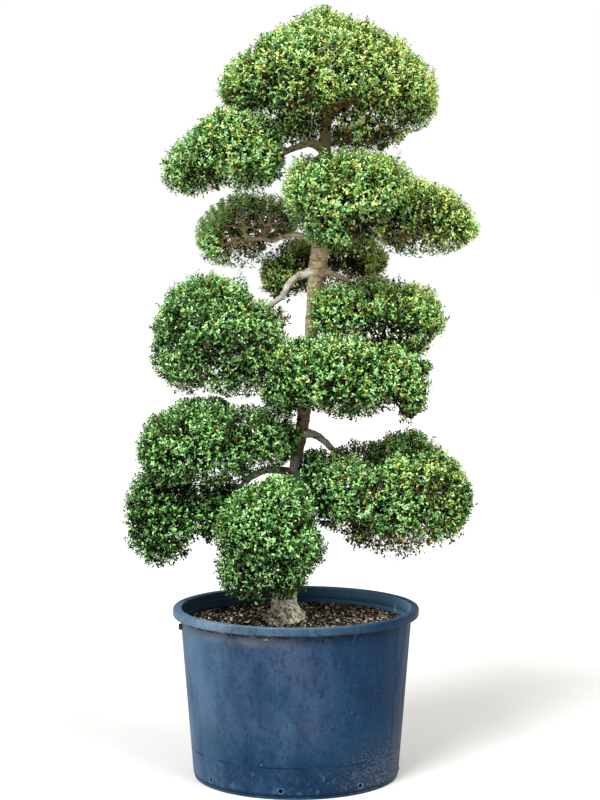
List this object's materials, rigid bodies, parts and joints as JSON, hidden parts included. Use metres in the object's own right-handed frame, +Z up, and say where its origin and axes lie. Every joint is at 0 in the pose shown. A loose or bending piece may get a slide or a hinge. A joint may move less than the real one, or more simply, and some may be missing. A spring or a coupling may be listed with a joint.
{
  "type": "cloud-pruned evergreen tree in a nursery pot",
  "caption": "Small-leaved evergreen tree trained in dense cloud-pruned pads on curved boughs along a leaning trunk, growing in a large round tapered nursery pot with a broad rim.",
  "frame": {"origin": "centre of the pot's flat underside", "axes": "+Z up through the trunk, -Y towards the front of the tree, +X to the right seen from the front"},
  "size_m": [1.3084, 0.9, 2.805],
  "materials": {
    "pot_plastic": "satin",
    "soil": "rough",
    "bark": "rough",
    "foliage": "glossy leaves"
  },
  "bodies": {
    "root": {"pot": "pot_plastic", "soil": "soil", "trunk": "bark", "bough_crown_left": "bark", "bough_crown_right": "bark", "bough_upper_left": "bark", "bough_upper_right": "bark", "bough_upper_back": "bark", "bough_middle_left": "bark", "bough_middle_right": "bark", "bough_middle_back": "bark", "bough_lower_right": "bark", "bough_lower_left": "bark", "bough_lower_back": "bark", "foliage_crown": "foliage", "foliage_crown_left": "foliage", "foliage_upper_front": "foliage", "foliage_upper_right": "foliage", "foliage_upper_left": "foliage", "foliage_upper_back": "foliage", "foliage_middle_left": "foliage", "foliage_middle_right": "foliage", "foliage_middle_front": "foliage", "foliage_middle_back": "foliage", "foliage_lower_left_top": "foliage", "foliage_lower_left": "foliage", "foliage_lower_front": "foliage", "foliage_lower_back": "foliage", "foliage_lower_right": "foliage"}
  },
  "joints": []
}
